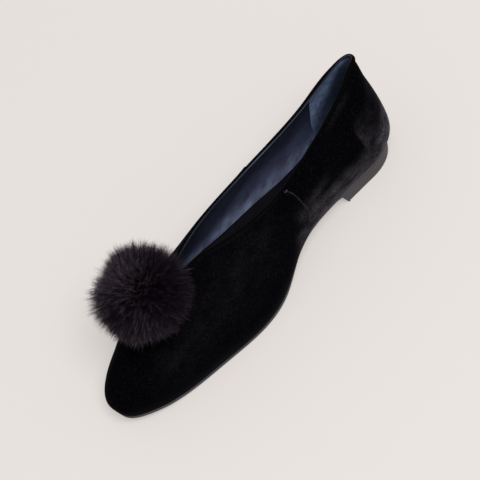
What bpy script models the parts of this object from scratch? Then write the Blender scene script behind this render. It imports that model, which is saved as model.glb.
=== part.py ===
"""Pompom ballet flat, the left shoe of a pair, standing empty on its sole.

A soft upper is lofted through sections of the last, cut open along the topline and closed below by
a thin outsole with a low heel. A corded binding edges the topline, an insole lies inside, and a fur
pompom sits on the vamp just ahead of the throat.

Lengths are metres. +Z is up, the toe points to -Y and the outer side of the foot is +X.
"""

import math
import random

import bmesh
import bpy
import numpy as np

MM = 0.001
GAP = 0.3 * MM

# Driving sizes of the last and the pieces on it.
LENGTH = 248 * MM
WALL = 1.6 * MM
BINDING_RADIUS = 1.4 * MM
SOLE_THICKNESS = 2.8 * MM
SOLE_MARGIN = 1.0 * MM
SOLE_EDGE_BEVEL = 0.6 * MM
INSOLE_THICKNESS = 2.0 * MM
INSOLE_INSET = 3.4 * MM
HEEL_TAPER = 0.8 * MM
POMPOM_CORE_RADIUS = 23.0 * MM
POMPOM_LOCK_LENGTH = 6.0 * MM
POMPOM_LIFT = 20.5 * MM

# Stations run from 0 at the toe tip to 1 at the back of the heel.
THROAT_STATION = 0.290
POMPOM_STATION = 0.264
BREAST_STATION_TOP = 0.765
BREAST_STATION_FLOOR = 0.775

# How the two ends of the last round off: share of the length, and squareness of the curve.
TOE_TAPER, TOE_SQUARENESS = 0.715, 2.97
TOE_RISE, TOE_RISE_SQUARENESS = 0.10, 2.4
TOE_TUCK, TOE_TUCK_HEIGHT = 3.0 * MM, 12 * MM
HEEL_ROUNDING, HEEL_SQUARENESS = 0.13, 2.1

# Side view of the heel's back: it swells at one height, tucks in to the seat and leans in above.
BACK_SWELL_HEIGHT = 9 * MM
BACK_SEAT_TUCK = 5.0 * MM
BACK_LEAN = 5.2 * MM
BACK_LEAN_HEIGHT = 58 * MM
BACK_LEAN_POWER = 1.7
BACK_START = 0.70

# The wall turns under to the feather line, where it meets the sole, below this height.
TUCK_HEIGHT = 17 * MM
TUCK_REACH = 0.6

# Sections of the last, in millimetres. Centre is where its ridge stands, inner and outer are the
# half widths each side of the ridge, crown is the height above the feather line at which a section
# would close, squareness shapes its arch and tuck draws in its foot.
LAST_COLUMNS = (
    "station", "centre", "inner", "outer", "crown", "squareness", "inner_tuck", "outer_tuck", "feather",
)
LAST_ROWS = (
    (0.00, -4.1, 25.6, 26.0, 20.4, 2.45, 1.7, 1.7, 8.8),
    (0.12, -6.6, 29.3, 36.2, 29.4, 2.38, 3.0, 3.0, 5.0),
    (0.25, -7.1, 34.3, 40.6, 42.3, 2.22, 3.8, 3.8, 3.1),
    (0.36, -8.4, 29.2, 45.7, 54.8, 1.72, 3.9, 3.9, 3.1),
    (0.48, -7.0, 27.1, 42.9, 58.6, 1.76, 6.4, 4.8, 4.5),
    (0.60, -3.9, 27.4, 31.0, 52.8, 1.97, 10.8, 6.8, 8.8),
    (0.74, -1.2, 24.8, 28.1, 50.3, 2.10, 12.0, 5.8, 13.1),
    (0.88, -0.2, 21.2, 31.0, 55.5, 2.15, 5.8, 5.7, 13.7),
    (1.00, 1.4, 26.5, 31.5, 63.5, 2.20, 4.0, 3.4, 13.7),
)

# The topline, as the share of each half section that the opening takes away from the crown down.
TOPLINE_COLUMNS = ("station", "open")
TOPLINE_ROWS = (
    (THROAT_STATION, 0.000),
    (0.31, 0.115),
    (0.36, 0.170),
    (0.46, 0.277),
    (0.54, 0.333),
    (0.64, 0.380),
    (0.75, 0.316),
    (0.87, 0.256),
    (0.94, 0.224),
    (1.00, 0.261),
)

INNER, OUTER = -1, 1
SIDES = (INNER, OUTER)

# Mesh density.
FRONT_ROWS = 15
REAR_ROWS = 34
WALL_STEPS = 12
SOLE_STATIONS = 44
SOLE_STEPS_ACROSS = 7
HEEL_STATIONS = 16
SEAT_STATIONS = 18
SEAT_SPAN = (0.06, 0.46)
SEAT_STEPS = 24
FIRST_SOLE_STATION = 0.0008
ROW_CROWDING = 2.2
EDGE_STEP = 0.002
MERGE = 0.01 * MM
SMOOTH_ANGLE = math.radians(40)

# Fur locks of the pompom: how far a lock narrows, how its length varies, and the chance used.
LOCK_TAPER = 0.28
LOCK_SHORTEST, LOCK_LONGEST = 0.75, 1.15
LOCK_SEED = 4

COLOURS = {
    "velvet": ((0.006, 0.006, 0.008, 1.0), 0.9),
    "binding": ((0.005, 0.005, 0.007, 1.0), 0.7),
    "sole": ((0.030, 0.029, 0.032, 1.0), 0.6),
    "sock": ((0.012, 0.012, 0.016, 1.0), 0.6),
    "fur": ((0.012, 0.010, 0.012, 1.0), 0.8),
}


def natural_spline(knots, values):
    """A smooth curve through the rows of a table, as a function of their first column."""
    knots, values = np.asarray(knots, float), np.asarray(values, float)
    gaps = np.diff(knots)
    slopes = np.diff(values) / gaps
    count = len(knots)
    system, right = np.eye(count), np.zeros(count)
    for i in range(1, count - 1):
        system[i, i - 1 : i + 2] = gaps[i - 1], 2 * (gaps[i - 1] + gaps[i]), gaps[i]
        right[i] = 6 * (slopes[i] - slopes[i - 1])
    bends = np.linalg.solve(system, right)

    def value(at):
        at = np.clip(at, knots[0], knots[-1])
        i = np.clip(np.searchsorted(knots, at, side="right") - 1, 0, count - 2)
        past, ahead, gap = at - knots[i], knots[i + 1] - at, gaps[i]
        bend = (bends[i] * ahead**3 + bends[i + 1] * past**3) / (6 * gap)
        low = (values[i] / gap - bends[i] * gap / 6) * ahead
        high = (values[i + 1] / gap - bends[i + 1] * gap / 6) * past
        return bend + low + high

    return value


def table_curves(columns, rows):
    """One smooth curve for each column after the first."""
    table = np.array(rows, float)
    return {name: natural_spline(table[:, 0], table[:, k]) for k, name in enumerate(columns) if k}


LAST = table_curves(LAST_COLUMNS, LAST_ROWS)


def opening_root(station):
    """Distance behind the throat, as a root, so that the topline turns round the throat smoothly."""
    return np.sqrt(np.clip((station - THROAT_STATION) / (1 - THROAT_STATION), 0, 1))


TOPLINE = table_curves(
    TOPLINE_COLUMNS,
    [(float(opening_root(station)), share) for station, share in TOPLINE_ROWS],
)


def end_rounding(share, squareness):
    """Rises from 0 at an end of the last to 1 where its full section is reached."""
    share = np.clip(share, 0, 1)
    return (1 - (1 - share) ** squareness) ** (1 / squareness)


def smooth_step(share):
    share = np.clip(share, 0, 1)
    return share * share * (3 - 2 * share)


def feather_height(station):
    """Height of the feather line, where the upper meets the sole."""
    return LAST["feather"](station) * MM


def back_curve(height):
    """How far the heel's back stands in from its swell, at a height above the feather line."""
    below = np.clip((BACK_SWELL_HEIGHT - height) / BACK_SWELL_HEIGHT, 0, 1)
    above = np.clip((height - BACK_SWELL_HEIGHT) / (BACK_LEAN_HEIGHT - BACK_SWELL_HEIGHT), 0, 2)
    return BACK_SEAT_TUCK * below**2 + BACK_LEAN * above**BACK_LEAN_POWER


def last_surface(station, around, grow=0.0):
    """Points on the last. Around runs from 0 at the inner feather edge, over the crown at 0.5, to 1
    at the outer feather edge. Grow gives a larger form round the same last."""
    station, around = np.broadcast_arrays(np.asarray(station, float), np.asarray(around, float))
    ends = end_rounding(station / TOE_TAPER, TOE_SQUARENESS)
    ends = ends * end_rounding((1 - station) / HEEL_ROUNDING, HEEL_SQUARENESS)
    rise = end_rounding(station / TOE_RISE, TOE_RISE_SQUARENESS)
    is_inner = around < 0.5
    half_width = np.where(is_inner, LAST["inner"](station), LAST["outer"](station)) * MM + grow
    power = 2 / LAST["squareness"](station)
    across = np.abs(np.cos(math.pi * around)) ** power
    height = (LAST["crown"](station) * MM + grow) * rise * np.abs(np.sin(math.pi * around)) ** power
    tuck = np.where(is_inner, LAST["inner_tuck"](station), LAST["outer_tuck"](station)) * MM
    tuck = tuck * np.clip(1 - height / TUCK_HEIGHT, 0, 1) ** 2
    tuck = tuck * smooth_step(across / TUCK_REACH)
    side = np.where(is_inner, -1.0, 1.0)
    x = LAST["centre"](station) * MM + side * ends * (half_width * across - tuck)
    toe_tuck = TOE_TUCK * np.clip(1 - height / TOE_TUCK_HEIGHT, 0, 1) ** 2
    toe_tuck = toe_tuck * np.clip(1 - station / TOE_RISE, 0, 1)
    back = back_curve(height) * smooth_step((station - BACK_START) / (1 - BACK_START))
    y = LENGTH * (station - 0.5) + toe_tuck - back + grow * (2 * station - 1)
    return np.stack([x, y, height + feather_height(station)], axis=-1)


def topline_around(station, side):
    """Where the topline crosses a section, on the inner side (-1) or the outer side (1)."""
    return 0.5 + side * TOPLINE["open"](opening_root(station)) / 2


def row_stations():
    """(station at the feather line, station at the top) of each row of the upper, toe to heel."""
    rows = []
    for i in range(FRONT_ROWS + 1):
        station = THROAT_STATION * (i / FRONT_ROWS) ** ROW_CROWDING
        rows.append((station, station))
    for j in range(1, REAR_ROWS + 1):
        share = j / REAR_ROWS
        eased = (1 - math.cos(math.pi * share)) / 2
        spread = (eased + 1 - (1 - share) ** 2) / 2
        behind = 1 - THROAT_STATION
        rows.append((THROAT_STATION + behind * spread, THROAT_STATION + behind * eased))
    return rows


def half_row(low, top, side):
    """Points of one half section, from the feather line up to the crown or the topline."""
    steps = np.linspace(0, 1, WALL_STEPS + 1)
    start = 0.5 + side / 2
    end = topline_around(top, side)
    return last_surface(low + (top - low) * steps, start + (end - start) * steps)


def finish_object(name, mesh, material, collection):
    obj = bpy.data.objects.new(name, mesh)
    collection.objects.link(obj)
    mesh.materials.append(material)
    mesh.shade_smooth()
    mesh.set_sharp_from_angle(angle=SMOOTH_ANGLE)
    return obj


def mesh_from(bm, name):
    bmesh.ops.remove_doubles(bm, verts=bm.verts, dist=MERGE)
    bmesh.ops.recalc_face_normals(bm, faces=bm.faces)
    mesh = bpy.data.meshes.new(name)
    bm.to_mesh(mesh)
    bm.free()
    return mesh


def loft(name, rings):
    """A closed solid through rings of equal count, capped at both ends."""
    bm = bmesh.new()
    rows = [[bm.verts.new(point) for point in ring] for ring in rings]
    for near, far in zip(rows, rows[1:]):
        for k in range(len(near)):
            bm.faces.new((near[k - 1], near[k], far[k], far[k - 1]))
    bm.faces.new(rows[0])
    bm.faces.new(rows[-1])
    return mesh_from(bm, name)


def build_upper(material, collection):
    """Vamp and quarters in one sheet of rows, split behind the throat, then given its wall."""
    bm = bmesh.new()
    for side in SIDES:
        rows = [[bm.verts.new(p) for p in half_row(*row, side)] for row in row_stations()]
        for near, far in zip(rows, rows[1:]):
            for k in range(WALL_STEPS):
                corners = (near[k], near[k + 1], far[k + 1], far[k])
                bm.faces.new(corners if side == INNER else corners[::-1])
    bmesh.ops.remove_doubles(bm, verts=bm.verts, dist=MERGE)
    bmesh.ops.dissolve_degenerate(bm, edges=bm.edges, dist=MERGE)
    mesh = bpy.data.meshes.new("upper")
    bm.to_mesh(mesh)
    bm.free()
    upper = finish_object("upper", mesh, material, collection)
    wall = upper.modifiers.new("wall", "SOLIDIFY")
    wall.thickness = WALL
    wall.offset = -1
    wall.use_even_offset = True
    wall.use_quality_normals = True
    return upper


def topline_points():
    """Centre line of the binding: a loop from the throat, back along the outer side and home along
    the inner side, one bead above the upper's cut edge and in the middle of its wall."""
    tops = np.array([top for _, top in row_stations()[FRONT_ROWS:]])
    stations = np.concatenate([tops, tops[-2:0:-1]])
    sides = np.where(np.arange(len(stations)) < len(tops), OUTER, INNER)
    around = topline_around(stations, sides)
    edge = last_surface(stations, around)
    at_throat = np.arange(len(stations)) == 0
    ahead = np.where(at_throat, EDGE_STEP, 0.0)
    lower = np.where(at_throat, 0.0, sides * EDGE_STEP)
    up = edge - last_surface(stations - ahead, around + lower)
    along = np.roll(edge, -1, axis=0) - np.roll(edge, 1, axis=0)
    along /= np.linalg.norm(along, axis=1, keepdims=True)
    up -= along * np.sum(up * along, axis=1, keepdims=True)
    up /= np.linalg.norm(up, axis=1, keepdims=True)
    outward = np.cross(along, up)
    return edge + up * (GAP + BINDING_RADIUS) - outward * WALL / 2


def topline_bead(name, radius):
    """A round cord that follows the topline."""
    points = topline_points()
    curve = bpy.data.curves.new(name, "CURVE")
    curve.dimensions = "3D"
    curve.bevel_depth = radius
    curve.bevel_resolution = 2
    spline = curve.splines.new("POLY")
    spline.points.add(len(points) - 1)
    for point, place in zip(spline.points, points):
        point.co = (*place, 1.0)
    spline.use_cyclic_u = True
    return bpy.data.objects.new(name, curve)


def build_binding(material, collection):
    binding = topline_bead("topline_binding", BINDING_RADIUS)
    binding.data.materials.append(material)
    collection.objects.link(binding)
    return binding


def plan_edges(stations, grow):
    """Inner and outer edge of the feather line in plan, moved out all round by grow."""
    inner = last_surface(stations, 0.0)[:, :2]
    outer = last_surface(stations, 1.0)[:, :2]
    count = len(stations)
    loop = np.concatenate([outer, inner[::-1]])
    along = np.roll(loop, -1, axis=0) - np.roll(loop, 1, axis=0)
    outward = np.stack([along[:, 1], -along[:, 0]], axis=1)
    loop = loop + grow * outward / np.linalg.norm(outward, axis=1, keepdims=True)
    return loop[count:][::-1], loop[:count]


def slab_ring(top_ends, low_ends, top, low):
    """A section across a sole piece: its top from the inner to the outer end, then its underside."""
    shares = np.linspace(0, 1, SOLE_STEPS_ACROSS)[:, None]
    above = top_ends[0] * (1 - shares) + top_ends[1] * shares
    below = low_ends[1] * (1 - shares) + low_ends[0] * shares
    return [(*p, top) for p in above] + [(*p, low) for p in below]


def sole_stations():
    """Stations for the sole pieces, close together at the toe and the heel."""
    stations = []
    for share in np.linspace(0, 1, SOLE_STATIONS):
        eased = (1 - math.cos(math.pi * share)) / 2
        stations.append(FIRST_SOLE_STATION + (1 - 2 * FIRST_SOLE_STATION) * eased)
    return np.array(stations)


def sole_underside(station):
    """Height of the outsole's underside: flat on the floor at the ball, raised at toe and waist."""
    return np.maximum(feather_height(station) - GAP - SOLE_THICKNESS, 0.0)


def slab(name, stations, grow, low_grow, top, low):
    """A sole piece between two heights that follow the stations."""
    top_inner, top_outer = plan_edges(stations, grow)
    low_inner, low_outer = plan_edges(stations, low_grow)
    rings = [
        slab_ring((top_inner[i], top_outer[i]), (low_inner[i], low_outer[i]), top[i], low[i])
        for i in range(len(stations))
    ]
    return loft(name, rings)


def build_outsole(material, collection):
    stations = sole_stations()
    top = feather_height(stations) - GAP
    bevelled = SOLE_MARGIN - SOLE_EDGE_BEVEL
    mesh = slab("outsole", stations, SOLE_MARGIN, bevelled, top, sole_underside(stations))
    return finish_object("outsole", mesh, material, collection)


def build_insole(material, collection):
    stations = sole_stations()
    low = feather_height(stations)
    mesh = slab("insole", stations, -INSOLE_INSET, -INSOLE_INSET, low + INSOLE_THICKNESS, low)
    return finish_object("insole", mesh, material, collection)


def build_heel(material, collection):
    """A low block under the seat, with a slightly raked breast and sides that taper to the floor."""
    last_station = 1 - FIRST_SOLE_STATION
    shares = np.sin(np.linspace(0, math.pi / 2, HEEL_STATIONS))
    at_top = BREAST_STATION_TOP + (last_station - BREAST_STATION_TOP) * shares
    at_floor = BREAST_STATION_FLOOR + (last_station - BREAST_STATION_FLOOR) * shares
    top_inner, top_outer = plan_edges(at_top, SOLE_MARGIN)
    low_inner, low_outer = plan_edges(at_floor, SOLE_MARGIN - HEEL_TAPER)
    tops = sole_underside(at_top) - GAP
    rings = [
        slab_ring((top_inner[i], top_outer[i]), (low_inner[i], low_outer[i]), tops[i], 0.0)
        for i in range(HEEL_STATIONS)
    ]
    return finish_object("heel", loft("heel", rings), material, collection)


def pompom_centre():
    """Where the pompom's middle stands over the ridge of the vamp."""
    near, far = last_surface(np.array([POMPOM_STATION, POMPOM_STATION + EDGE_STEP]), 0.5)
    along = far - near
    normal = np.array([0.0, -along[2], along[1]])
    return near + normal / np.linalg.norm(normal) * POMPOM_LIFT


def vamp_form():
    """The outside of the vamp over its whole arch, a gap larger, that flattens the pompom's foot."""
    stations = np.linspace(*SEAT_SPAN, SEAT_STATIONS)
    around = np.linspace(0, 1, SEAT_STEPS)
    return loft("vamp_form", [last_surface(station, around, grow=GAP) for station in stations])


def bead_form(collection):
    """The binding's cord, a gap thicker, as a mesh."""
    bead = topline_bead("bead_guide", BINDING_RADIUS + GAP)
    bead.hide_render = True
    collection.objects.link(bead)
    graph = bpy.context.evaluated_depsgraph_get()
    return bpy.data.meshes.new_from_object(bead.evaluated_get(graph))


def cut_away(piece, name, mesh, collection):
    """Cuts a form out of a piece, and keeps the cutter out of sight."""
    cutter = bpy.data.objects.new(name, mesh)
    collection.objects.link(cutter)
    cutter.hide_render = True
    cutter.display_type = "WIRE"
    cut = piece.modifiers.new(name, "BOOLEAN")
    cut.operation = "DIFFERENCE"
    cut.solver = "EXACT"
    cut.object = cutter


def build_pompom(material, collection, cutters):
    """A fur ball: every face of a round core is drawn out into a lock that narrows to its tip."""
    chance = random.Random(LOCK_SEED)
    bm = bmesh.new()
    bmesh.ops.create_icosphere(bm, subdivisions=3, radius=POMPOM_CORE_RADIUS)
    drawn = bmesh.ops.extrude_discrete_faces(bm, faces=bm.faces[:])
    for tip in drawn["faces"]:
        middle = tip.calc_center_median()
        outward = middle.normalized()
        length = POMPOM_LOCK_LENGTH * chance.uniform(LOCK_SHORTEST, LOCK_LONGEST)
        for vertex in tip.verts:
            vertex.co = middle + (vertex.co - middle) * LOCK_TAPER + outward * length
    mesh = bpy.data.meshes.new("pompom")
    bm.to_mesh(mesh)
    bm.free()
    pompom = finish_object("pompom", mesh, material, collection)
    pompom.location = pompom_centre()
    cut_away(pompom, "bead_cut", bead_form(cutters), cutters)
    cut_away(pompom, "vamp_cut", vamp_form(), cutters)
    return pompom


def make_material(name):
    colour, roughness = COLOURS[name]
    material = bpy.data.materials.new(name)
    material.use_nodes = True
    shader = material.node_tree.nodes["Principled BSDF"]
    shader.inputs["Base Color"].default_value = colour
    shader.inputs["Roughness"].default_value = roughness
    shader.inputs["Metallic"].default_value = 0.0
    return material


def new_collection(name):
    collection = bpy.data.collections.new(name)
    bpy.context.scene.collection.children.link(collection)
    return collection


def stand_centred(pieces, cutters):
    """Parents everything to one empty, moved so that the pieces' box is centred over the origin."""
    bpy.context.view_layer.update()
    graph = bpy.context.evaluated_depsgraph_get()
    corners = []
    for piece in pieces:
        mesh = piece.evaluated_get(graph).to_mesh()
        corners += [piece.matrix_world @ vertex.co for vertex in mesh.vertices]
    places = np.array(corners)
    middle = (places.min(axis=0) + places.max(axis=0)) / 2
    shoe = bpy.data.objects.new("shoe", None)
    pieces[0].users_collection[0].objects.link(shoe)
    for obj in [*pieces, *cutters.objects]:
        obj.parent = shoe
    shoe.location = (-middle[0], -middle[1], 0.0)


def main():
    for obj in list(bpy.data.objects):
        bpy.data.objects.remove(obj)
    collection = new_collection("pompom_ballet_flat")
    cutters = new_collection("cutters")
    materials = {name: make_material(name) for name in COLOURS}
    pieces = [
        build_outsole(materials["sole"], collection),
        build_heel(materials["sole"], collection),
        build_upper(materials["velvet"], collection),
        build_insole(materials["sock"], collection),
        build_binding(materials["binding"], collection),
        build_pompom(materials["fur"], collection, cutters),
    ]
    stand_centred(pieces, cutters)


main()
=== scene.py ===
"""Looks for a pompom ballet flat, a left shoe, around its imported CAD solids.

Velvet, lining, sock, sole, binding and fur are built again in fine mesh on the same last as the
solids. Lengths are metres. +Z is up, the toe points to -Y and the outer side of the foot is +X. A
place on the upper is a station, from 0 at the toe to 1 at the heel, and a share of the wall's
height, from 0 at the feather line to 1 at the topline.
"""

import math

import bpy
import numpy as np
from mathutils import Matrix, Vector
from mathutils.bvhtree import BVHTree

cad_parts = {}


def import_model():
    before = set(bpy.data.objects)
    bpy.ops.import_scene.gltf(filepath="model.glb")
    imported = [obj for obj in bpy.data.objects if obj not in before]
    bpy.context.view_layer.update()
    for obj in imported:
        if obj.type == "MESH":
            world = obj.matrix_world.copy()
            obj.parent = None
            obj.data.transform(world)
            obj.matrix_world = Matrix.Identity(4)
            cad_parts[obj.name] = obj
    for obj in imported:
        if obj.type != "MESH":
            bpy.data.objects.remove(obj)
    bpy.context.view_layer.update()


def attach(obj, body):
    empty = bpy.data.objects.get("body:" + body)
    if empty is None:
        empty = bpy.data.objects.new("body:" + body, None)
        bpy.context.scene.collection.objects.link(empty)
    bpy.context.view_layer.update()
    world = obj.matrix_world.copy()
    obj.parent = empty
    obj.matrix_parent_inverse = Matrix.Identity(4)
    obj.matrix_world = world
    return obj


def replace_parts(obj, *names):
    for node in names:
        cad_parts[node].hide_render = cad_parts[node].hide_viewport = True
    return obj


MM = 0.001
BODY = "root"
WELD_STEP = 0.002 * MM
INNER, OUTER = -1, 1
SIDES = (INNER, OUTER)
INWARD = -1


# Curves and vectors.
def natural_spline(knots, values):
    gaps = np.diff(knots)
    slopes = np.diff(values) / gaps
    count = len(knots)
    system, right = np.eye(count), np.zeros(count)
    for i in range(1, count - 1):
        system[i, i - 1 : i + 2] = gaps[i - 1], 2 * (gaps[i - 1] + gaps[i]), gaps[i]
        right[i] = 6 * (slopes[i] - slopes[i - 1])
    bends = np.linalg.solve(system, right)

    def value(at):
        at = np.clip(at, knots[0], knots[-1])
        i = np.clip(np.searchsorted(knots, at, side="right") - 1, 0, count - 2)
        past, ahead, gap = at - knots[i], knots[i + 1] - at, gaps[i]
        bend = (bends[i] * ahead**3 + bends[i + 1] * past**3) / (6 * gap)
        low = (values[i] / gap - bends[i] * gap / 6) * ahead
        high = (values[i + 1] / gap - bends[i + 1] * gap / 6) * past
        return bend + low + high

    return value


def table_curve(*rows):
    """A smooth curve through rows of a place and a value."""
    return natural_spline(*np.array(rows, float).T)


def table_curves(columns, *rows):
    """A smooth curve for each named column, over the place that each row starts with."""
    table = np.array(rows, float).T
    return {name: natural_spline(table[0], column) for name, column in zip(columns.split(), table[1:])}


def smooth_step(share):
    share = np.clip(share, 0, 1)
    return share * share * (3 - 2 * share)


def bell(away):
    """1 in the middle, falling off smoothly with a distance in half widths."""
    return np.exp(-(away**2))


def unit(vectors):
    return vectors / np.linalg.norm(vectors, axis=-1, keepdims=True)


def tangent_of(vectors, normals):
    return vectors - normals * np.sum(vectors * normals, axis=-1, keepdims=True)


def run_along(points):
    """How far along a line of points each of them lies."""
    return np.concatenate([[0.0], np.cumsum(np.linalg.norm(np.diff(points, axis=0), axis=1))])


# The last, with the same values as the solids are made from.
LENGTH = 248 * MM
THROAT_STATION = 0.290
TOE_TAPER, TOE_SQUARENESS = 0.715, 2.97
TOE_RISE, TOE_RISE_SQUARENESS = 0.10, 2.4
TOE_TUCK, TOE_TUCK_HEIGHT = 3.0 * MM, 12 * MM
HEEL_ROUNDING, HEEL_SQUARENESS = 0.13, 2.1
BACK_SWELL_HEIGHT, BACK_SEAT_TUCK = 9 * MM, 5.0 * MM
BACK_LEAN, BACK_LEAN_HEIGHT, BACK_LEAN_POWER = 5.2 * MM, 58 * MM, 1.7
BACK_START = 0.70
TUCK_HEIGHT, TUCK_REACH = 17 * MM, 0.6
# The padded collar flares a little at the back of the heel, which the solid leaves out.
COLLAR_FLARE, COLLAR_START, COLLAR_RUN = 2.2 * MM, 46 * MM, 14 * MM
# The solids stand with their box centred over the origin, this far from the last's own middle.
STAND_SHIFT = np.array([1.1277, -0.5987, 0.0]) * MM
# Sections by station, in millimetres but for the squareness.
LAST = table_curves(
    "centre inner outer crown squareness inner_tuck outer_tuck feather",
    (0.00, -4.1, 25.6, 26.0, 20.4, 2.45, 1.7, 1.7, 8.8),
    (0.12, -6.6, 29.3, 36.2, 29.4, 2.38, 3.0, 3.0, 5.0),
    (0.25, -7.1, 34.3, 40.6, 42.3, 2.22, 3.8, 3.8, 3.1),
    (0.36, -8.4, 29.2, 45.7, 54.8, 1.72, 3.9, 3.9, 3.1),
    (0.48, -7.0, 27.1, 42.9, 58.6, 1.76, 6.4, 4.8, 4.5),
    (0.60, -3.9, 27.4, 31.0, 52.8, 1.97, 10.8, 6.8, 8.8),
    (0.74, -1.2, 24.8, 28.1, 50.3, 2.10, 12.0, 5.8, 13.1),
    (0.88, -0.2, 21.2, 31.0, 55.5, 2.15, 5.8, 5.7, 13.7),
    (1.00, 1.4, 26.5, 31.5, 63.5, 2.20, 4.0, 3.4, 13.7),
)
# How much of each section the foot's opening takes, by station.
TOPLINE_ROWS = (
    (THROAT_STATION, 0.000), (0.31, 0.115), (0.36, 0.170), (0.46, 0.277), (0.54, 0.333),
    (0.64, 0.380), (0.75, 0.316), (0.87, 0.256), (0.94, 0.224), (1.00, 0.261),
)
# The cloth stands a little higher than the solid's wall: how far round the section the outer and the
# inner topline rise, by station.
RIM = table_curves(
    "outer inner",
    (THROAT_STATION, 0.0, 0.0), (0.32, 0.012, 0.0), (0.36, 0.018, 0.0), (0.40, 0.0155, 0.0),
    (0.45, 0.010, 0.0), (0.52, 0.007, 0.0), (0.58, 0.010, 0.0), (0.64, 0.0145, 0.0),
    (0.70, 0.0145, 0.0), (0.76, 0.0160, 0.0), (0.82, 0.0215, 0.0), (0.87, 0.0265, 0.001),
    (0.92, 0.0230, 0.003), (0.96, 0.0345, 0.012), (0.985, 0.0385, 0.022), (1.00, 0.030, 0.030),
)


def opening_root(station):
    """Distance behind the throat, as a root, so that the topline turns round the throat smoothly."""
    return np.sqrt(np.clip((station - THROAT_STATION) / (1 - THROAT_STATION), 0, 1))


OPENING = table_curve(*[(opening_root(station), share) for station, share in TOPLINE_ROWS])


def end_rounding(share, squareness):
    """Rises from 0 at an end of the last to 1 where its full section is reached."""
    share = np.clip(share, 0, 1)
    return (1 - (1 - share) ** squareness) ** (1 / squareness)


def feather_height(station):
    """Height of the feather line, where the upper meets the sole."""
    return LAST["feather"](station) * MM


def crown_height(station):
    return LAST["crown"](station) * MM * end_rounding(station / TOE_RISE, TOE_RISE_SQUARENESS)


def back_curve(height):
    """How far the heel's back stands in from its swell, at a height above the feather line."""
    below = np.clip((BACK_SWELL_HEIGHT - height) / BACK_SWELL_HEIGHT, 0, 1)
    above = np.clip((height - BACK_SWELL_HEIGHT) / (BACK_LEAN_HEIGHT - BACK_SWELL_HEIGHT), 0, 2)
    flare = COLLAR_FLARE * smooth_step((height - COLLAR_START) / COLLAR_RUN)
    return BACK_SEAT_TUCK * below**2 + BACK_LEAN * above**BACK_LEAN_POWER - flare


def last_surface(station, around):
    """Points on the last. Around runs from 0 at the inner feather edge, over the crown at 0.5, to 1
    at the outer feather edge."""
    station, around = np.broadcast_arrays(np.asarray(station, float), np.asarray(around, float))
    ends = end_rounding(station / TOE_TAPER, TOE_SQUARENESS)
    ends = ends * end_rounding((1 - station) / HEEL_ROUNDING, HEEL_SQUARENESS)
    is_inner = around < 0.5
    half_width = np.where(is_inner, LAST["inner"](station), LAST["outer"](station)) * MM
    power = 2 / LAST["squareness"](station)
    across = np.abs(np.cos(math.pi * around)) ** power
    height = crown_height(station) * np.abs(np.sin(math.pi * around)) ** power
    tuck = np.where(is_inner, LAST["inner_tuck"](station), LAST["outer_tuck"](station)) * MM
    tuck = tuck * np.clip(1 - height / TUCK_HEIGHT, 0, 1) ** 2 * smooth_step(across / TUCK_REACH)
    side = np.where(is_inner, INNER, OUTER)
    x = LAST["centre"](station) * MM + side * ends * (half_width * across - tuck)
    toe_tuck = TOE_TUCK * np.clip(1 - height / TOE_TUCK_HEIGHT, 0, 1) ** 2
    toe_tuck = toe_tuck * np.clip(1 - station / TOE_RISE, 0, 1)
    back = back_curve(height) * smooth_step((station - BACK_START) / (1 - BACK_START))
    y = LENGTH * (station - 0.5) + toe_tuck - back
    return np.stack([x, y, height + feather_height(station)], axis=-1) + STAND_SHIFT


def topline_around(station, side):
    """Where the topline crosses a section on one side."""
    rise = np.where(np.asarray(side) == OUTER, RIM["outer"](station), RIM["inner"](station))
    return 0.5 + side * (OPENING(opening_root(station)) / 2 - rise)


def wall_points(stations, shares, side):
    """Points of the wall for rows of stations, each from the feather line up to its top."""
    start = 0.5 + side / 2
    around = start + (topline_around(stations[:, -1:], side) - start) * shares
    return last_surface(stations, around)


# Meshes.
def grid_quads(rows, columns, closed=False):
    index = np.arange(rows * columns).reshape(rows, columns)
    if closed:
        index = np.concatenate([index, index[:, :1]], axis=1)
    corners = (index[:-1, :-1], index[:-1, 1:], index[1:, 1:], index[1:, :-1])
    return np.stack(corners, axis=-1).reshape(-1, 4)


def weld(points, quads):
    """Joins points that coincide: which points stay, and the faces between them."""
    keys = np.round(points / WELD_STEP).astype(np.int64)
    _, first, place = np.unique(keys, axis=0, return_index=True, return_inverse=True)
    faces = []
    for face in place.reshape(-1)[quads].tolist():
        kept = [corner for k, corner in enumerate(face) if corner != face[k - 1]]
        if len(set(kept)) == len(kept) > 2:
            faces.append(kept)
    return first, faces


def new_mesh(name, points, faces):
    mesh = bpy.data.meshes.new(name)
    mesh.from_pydata(np.asarray(points).tolist(), [], [list(face) for face in faces])
    mesh.update()
    return mesh


def new_object(name, data):
    added = bpy.data.objects.new(name, data)
    bpy.context.scene.collection.objects.link(added)
    return added


def add_piece(name, points, faces, material, slot, values=None):
    """A smooth mesh object that rides on the shoe, with named values at its points."""
    mesh = new_mesh(name, points, faces)
    mesh.shade_smooth()
    for key, numbers in (values or {}).items():
        attribute = mesh.attributes.new(key, "FLOAT", "POINT")
        attribute.data.foreach_set("value", np.asarray(numbers, np.float32))
    mesh.materials.append(material)
    piece = new_object(name, mesh)
    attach(piece, BODY)
    return piece


def thicken(piece, name, thickness):
    solid = piece.modifiers.new(name, "SOLIDIFY")
    solid.thickness = thickness
    solid.offset = INWARD


def point_normals(points, faces):
    mesh = new_mesh("normals", points, faces)
    normals = np.zeros(len(points) * 3, np.float32)
    mesh.vertex_normals.foreach_get("vector", normals)
    bpy.data.meshes.remove(mesh)
    return normals.reshape(-1, 3).astype(float)


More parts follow.
